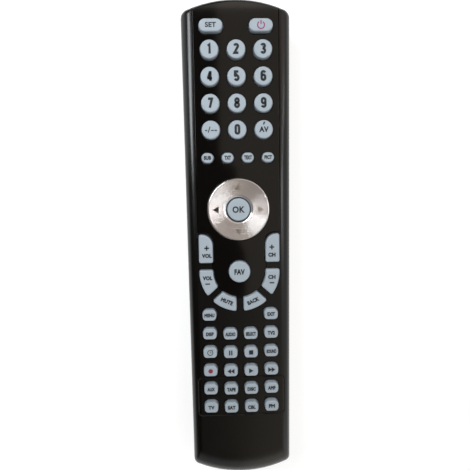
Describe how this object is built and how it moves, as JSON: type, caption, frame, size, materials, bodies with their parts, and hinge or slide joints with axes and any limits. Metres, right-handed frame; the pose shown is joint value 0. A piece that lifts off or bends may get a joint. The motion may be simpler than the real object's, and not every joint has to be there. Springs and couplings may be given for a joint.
{
  "type": "universal remote control",
  "caption": "Long hand-held remote control with a gloss face panel, rows of pale keys, a metal direction ring, volume and channel keys and a sliding battery door.",
  "frame": {"origin": "under the middle of the flat back, where the remote lies on a table", "axes": "+Y along the body to the infrared end, +Z out of the key face, +X to the right seen on the keys"},
  "size_m": [0.049, 0.222, 0.0246],
  "materials": {
    "satin_shell": "fine satin texture, black",
    "gloss_panel": "polished piano black",
    "key_silicone": "smooth pale blue-grey silicone",
    "spun_metal": "spun, radially lit metal",
    "grey_silicone": "matte grey silicone",
    "board": "green solder mask",
    "infrared_window": "dark red, clear to infrared",
    "nickel": "nickel-plated spring steel",
    "cell_sleeve": "plain printed sleeve"
  },
  "bodies": {
    "housing": {"front_cover": "satin_shell", "gloss_panel": "gloss_panel", "rear_cover": "satin_shell", "circuit_board": "board", "keypad_mat": "grey_silicone", "ir_window": "infrared_window", "ir_led": "infrared_window", "battery_contacts": "nickel", "batteries": "cell_sleeve"},
    "battery_door": {"battery_door": "satin_shell"},
    "nav_collar": {"nav_collar": "grey_silicone"},
    "nav_ring": {"nav_ring": "spun_metal"},
    "key_1": {"key_1": "key_silicone"},
    "key_set": {"key_set": "key_silicone"},
    "key_subtitle": {"key_subtitle": "key_silicone"},
    "key_favourite": {"key_favourite": "key_silicone"},
    "key_volume_up": {"key_volume_up": "key_silicone"},
    "key_volume_down": {"key_volume_down": "key_silicone"},
    "key_mute": {"key_mute": "key_silicone"},
    "key_menu": {"key_menu": "key_silicone"},
    "key_play": {"key_play": "key_silicone"},
    "key_ok": {"key_ok": "key_silicone"},
    "key_power": {"key_power": "key_silicone"},
    "key_2": {"key_2": "key_silicone"},
    "key_3": {"key_3": "key_silicone"},
    "key_4": {"key_4": "key_silicone"},
    "key_5": {"key_5": "key_silicone"},
    "key_6": {"key_6": "key_silicone"},
    "key_7": {"key_7": "key_silicone"},
    "key_8": {"key_8": "key_silicone"},
    "key_9": {"key_9": "key_silicone"},
    "key_two_digit": {"key_two_digit": "key_silicone"},
    "key_0": {"key_0": "key_silicone"},
    "key_av": {"key_av": "key_silicone"},
    "key_text_mix": {"key_text_mix": "key_silicone"},
    "key_text": {"key_text": "key_silicone"},
    "key_picture": {"key_picture": "key_silicone"},
    "key_channel_up": {"key_channel_up": "key_silicone"},
    "key_channel_down": {"key_channel_down": "key_silicone"},
    "key_back": {"key_back": "key_silicone"},
    "key_exit": {"key_exit": "key_silicone"},
    "key_display": {"key_display": "key_silicone"},
    "key_audio": {"key_audio": "key_silicone"},
    "key_select": {"key_select": "key_silicone"},
    "key_second_tv": {"key_second_tv": "key_silicone"},
    "key_timer": {"key_timer": "key_silicone"},
    "key_pause": {"key_pause": "key_silicone"},
    "key_stop": {"key_stop": "key_silicone"},
    "key_sound": {"key_sound": "key_silicone"},
    "key_record": {"key_record": "key_silicone"},
    "key_rewind": {"key_rewind": "key_silicone"},
    "key_forward": {"key_forward": "key_silicone"},
    "key_aux": {"key_aux": "key_silicone"},
    "key_tape": {"key_tape": "key_silicone"},
    "key_disc": {"key_disc": "key_silicone"},
    "key_amplifier": {"key_amplifier": "key_silicone"},
    "key_tv": {"key_tv": "key_silicone"},
    "key_satellite": {"key_satellite": "key_silicone"},
    "key_cable": {"key_cable": "key_silicone"},
    "key_tuner": {"key_tuner": "key_silicone"}
  },
  "joints": [
    {"name": "battery_door_slide", "type": "slide", "parent": "housing", "child": "battery_door", "axis": [0, -1, 0], "range_m": [0, 0.07]},
    {"name": "nav_tilt_up_down", "type": "hinge", "parent": "housing", "child": "nav_collar", "pos_m": [0, 0.0178, 0.0182], "axis": [1, 0, 0], "range_deg": [-2, 2], "stiffness_Nm_per_rad": 0.4},
    {"name": "nav_tilt_left_right", "type": "hinge", "parent": "nav_collar", "child": "nav_ring", "pos_m": [0, 0.0178, 0.0182], "axis": [0, 1, 0], "range_deg": [-2, 2], "stiffness_Nm_per_rad": 0.4},
    {"name": "key_1_press", "type": "slide", "parent": "housing", "child": "key_1", "axis": [0, 0, -1], "range_m": [0, 0.0008], "stiffness_N_per_m": 1000},
    {"name": "key_set_press", "type": "slide", "parent": "housing", "child": "key_set", "axis": [0, 0, -1], "range_m": [0, 0.0008], "stiffness_N_per_m": 1000},
    {"name": "key_subtitle_press", "type": "slide", "parent": "housing", "child": "key_subtitle", "axis": [0, 0, -1], "range_m": [0, 0.0008], "stiffness_N_per_m": 1000},
    {"name": "key_favourite_press", "type": "slide", "parent": "housing", "child": "key_favourite", "axis": [0, 0, -1], "range_m": [0, 0.0008], "stiffness_N_per_m": 1000},
    {"name": "key_volume_up_press", "type": "slide", "parent": "housing", "child": "key_volume_up", "axis": [0, 0, -1], "range_m": [0, 0.0008], "stiffness_N_per_m": 1000},
    {"name": "key_volume_down_press", "type": "slide", "parent": "housing", "child": "key_volume_down", "axis": [0, 0, -1], "range_m": [0, 0.0008], "stiffness_N_per_m": 1000},
    {"name": "key_mute_press", "type": "slide", "parent": "housing", "child": "key_mute", "axis": [0, 0, -1], "range_m": [0, 0.0008], "stiffness_N_per_m": 1000},
    {"name": "key_menu_press", "type": "slide", "parent": "housing", "child": "key_menu", "axis": [0, 0, -1], "range_m": [0, 0.0008], "stiffness_N_per_m": 1000},
    {"name": "key_play_press", "type": "slide", "parent": "housing", "child": "key_play", "axis": [0, 0, -1], "range_m": [0, 0.0008], "stiffness_N_per_m": 1000},
    {"name": "key_ok_press", "type": "slide", "parent": "housing", "child": "key_ok", "axis": [0, 0, -1], "range_m": [0, 0.0008], "stiffness_N_per_m": 1000},
    {"name": "key_power_press", "type": "slide", "parent": "housing", "child": "key_power", "axis": [0, 0, -1], "range_m": [0, 0.0008], "stiffness_N_per_m": 1000},
    {"name": "key_2_press", "type": "slide", "parent": "housing", "child": "key_2", "axis": [0, 0, -1], "range_m": [0, 0.0008], "stiffness_N_per_m": 1000},
    {"name": "key_3_press", "type": "slide", "parent": "housing", "child": "key_3", "axis": [0, 0, -1], "range_m": [0, 0.0008], "stiffness_N_per_m": 1000},
    {"name": "key_4_press", "type": "slide", "parent": "housing", "child": "key_4", "axis": [0, 0, -1], "range_m": [0, 0.0008], "stiffness_N_per_m": 1000},
    {"name": "key_5_press", "type": "slide", "parent": "housing", "child": "key_5", "axis": [0, 0, -1], "range_m": [0, 0.0008], "stiffness_N_per_m": 1000},
    {"name": "key_6_press", "type": "slide", "parent": "housing", "child": "key_6", "axis": [0, 0, -1], "range_m": [0, 0.0008], "stiffness_N_per_m": 1000},
    {"name": "key_7_press", "type": "slide", "parent": "housing", "child": "key_7", "axis": [0, 0, -1], "range_m": [0, 0.0008], "stiffness_N_per_m": 1000},
    {"name": "key_8_press", "type": "slide", "parent": "housing", "child": "key_8", "axis": [0, 0, -1], "range_m": [0, 0.0008], "stiffness_N_per_m": 1000},
    {"name": "key_9_press", "type": "slide", "parent": "housing", "child": "key_9", "axis": [0, 0, -1], "range_m": [0, 0.0008], "stiffness_N_per_m": 1000},
    {"name": "key_two_digit_press", "type": "slide", "parent": "housing", "child": "key_two_digit", "axis": [0, 0, -1], "range_m": [0, 0.0008], "stiffness_N_per_m": 1000},
    {"name": "key_0_press", "type": "slide", "parent": "housing", "child": "key_0", "axis": [0, 0, -1], "range_m": [0, 0.0008], "stiffness_N_per_m": 1000},
    {"name": "key_av_press", "type": "slide", "parent": "housing", "child": "key_av", "axis": [0, 0, -1], "range_m": [0, 0.0008], "stiffness_N_per_m": 1000},
    {"name": "key_text_mix_press", "type": "slide", "parent": "housing", "child": "key_text_mix", "axis": [0, 0, -1], "range_m": [0, 0.0008], "stiffness_N_per_m": 1000},
    {"name": "key_text_press", "type": "slide", "parent": "housing", "child": "key_text", "axis": [0, 0, -1], "range_m": [0, 0.0008], "stiffness_N_per_m": 1000},
    {"name": "key_picture_press", "type": "slide", "parent": "housing", "child": "key_picture", "axis": [0, 0, -1], "range_m": [0, 0.0008], "stiffness_N_per_m": 1000},
    {"name": "key_channel_up_press", "type": "slide", "parent": "housing", "child": "key_channel_up", "axis": [0, 0, -1], "range_m": [0, 0.0008], "stiffness_N_per_m": 1000},
    {"name": "key_channel_down_press", "type": "slide", "parent": "housing", "child": "key_channel_down", "axis": [0, 0, -1], "range_m": [0, 0.0008], "stiffness_N_per_m": 1000},
    {"name": "key_back_press", "type": "slide", "parent": "housing", "child": "key_back", "axis": [0, 0, -1], "range_m": [0, 0.0008], "stiffness_N_per_m": 1000},
    {"name": "key_exit_press", "type": "slide", "parent": "housing", "child": "key_exit", "axis": [0, 0, -1], "range_m": [0, 0.0008], "stiffness_N_per_m": 1000},
    {"name": "key_display_press", "type": "slide", "parent": "housing", "child": "key_display", "axis": [0, 0, -1], "range_m": [0, 0.0008], "stiffness_N_per_m": 1000},
    {"name": "key_audio_press", "type": "slide", "parent": "housing", "child": "key_audio", "axis": [0, 0, -1], "range_m": [0, 0.0008], "stiffness_N_per_m": 1000},
    {"name": "key_select_press", "type": "slide", "parent": "housing", "child": "key_select", "axis": [0, 0, -1], "range_m": [0, 0.0008], "stiffness_N_per_m": 1000},
    {"name": "key_second_tv_press", "type": "slide", "parent": "housing", "child": "key_second_tv", "axis": [0, 0, -1], "range_m": [0, 0.0008], "stiffness_N_per_m": 1000},
    {"name": "key_timer_press", "type": "slide", "parent": "housing", "child": "key_timer", "axis": [0, 0, -1], "range_m": [0, 0.0008], "stiffness_N_per_m": 1000},
    {"name": "key_pause_press", "type": "slide", "parent": "housing", "child": "key_pause", "axis": [0, 0, -1], "range_m": [0, 0.0008], "stiffness_N_per_m": 1000},
    {"name": "key_stop_press", "type": "slide", "parent": "housing", "child": "key_stop", "axis": [0, 0, -1], "range_m": [0, 0.0008], "stiffness_N_per_m": 1000},
    {"name": "key_sound_press", "type": "slide", "parent": "housing", "child": "key_sound", "axis": [0, 0, -1], "range_m": [0, 0.0008], "stiffness_N_per_m": 1000},
    {"name": "key_record_press", "type": "slide", "parent": "housing", "child": "key_record", "axis": [0, 0, -1], "range_m": [0, 0.0008], "stiffness_N_per_m": 1000},
    {"name": "key_rewind_press", "type": "slide", "parent": "housing", "child": "key_rewind", "axis": [0, 0, -1], "range_m": [0, 0.0008], "stiffness_N_per_m": 1000},
    {"name": "key_forward_press", "type": "slide", "parent": "housing", "child": "key_forward", "axis": [0, 0, -1], "range_m": [0, 0.0008], "stiffness_N_per_m": 1000},
    {"name": "key_aux_press", "type": "slide", "parent": "housing", "child": "key_aux", "axis": [0, 0, -1], "range_m": [0, 0.0008], "stiffness_N_per_m": 1000},
    {"name": "key_tape_press", "type": "slide", "parent": "housing", "child": "key_tape", "axis": [0, 0, -1], "range_m": [0, 0.0008], "stiffness_N_per_m": 1000},
    {"name": "key_disc_press", "type": "slide", "parent": "housing", "child": "key_disc", "axis": [0, 0, -1], "range_m": [0, 0.0008], "stiffness_N_per_m": 1000},
    {"name": "key_amplifier_press", "type": "slide", "parent": "housing", "child": "key_amplifier", "axis": [0, 0, -1], "range_m": [0, 0.0008], "stiffness_N_per_m": 1000},
    {"name": "key_tv_press", "type": "slide", "parent": "housing", "child": "key_tv", "axis": [0, 0, -1], "range_m": [0, 0.0008], "stiffness_N_per_m": 1000},
    {"name": "key_satellite_press", "type": "slide", "parent": "housing", "child": "key_satellite", "axis": [0, 0, -1], "range_m": [0, 0.0008], "stiffness_N_per_m": 1000},
    {"name": "key_cable_press", "type": "slide", "parent": "housing", "child": "key_cable", "axis": [0, 0, -1], "range_m": [0, 0.0008], "stiffness_N_per_m": 1000},
    {"name": "key_tuner_press", "type": "slide", "parent": "housing", "child": "key_tuner", "axis": [0, 0, -1], "range_m": [0, 0.0008], "stiffness_N_per_m": 1000}
  ]
}
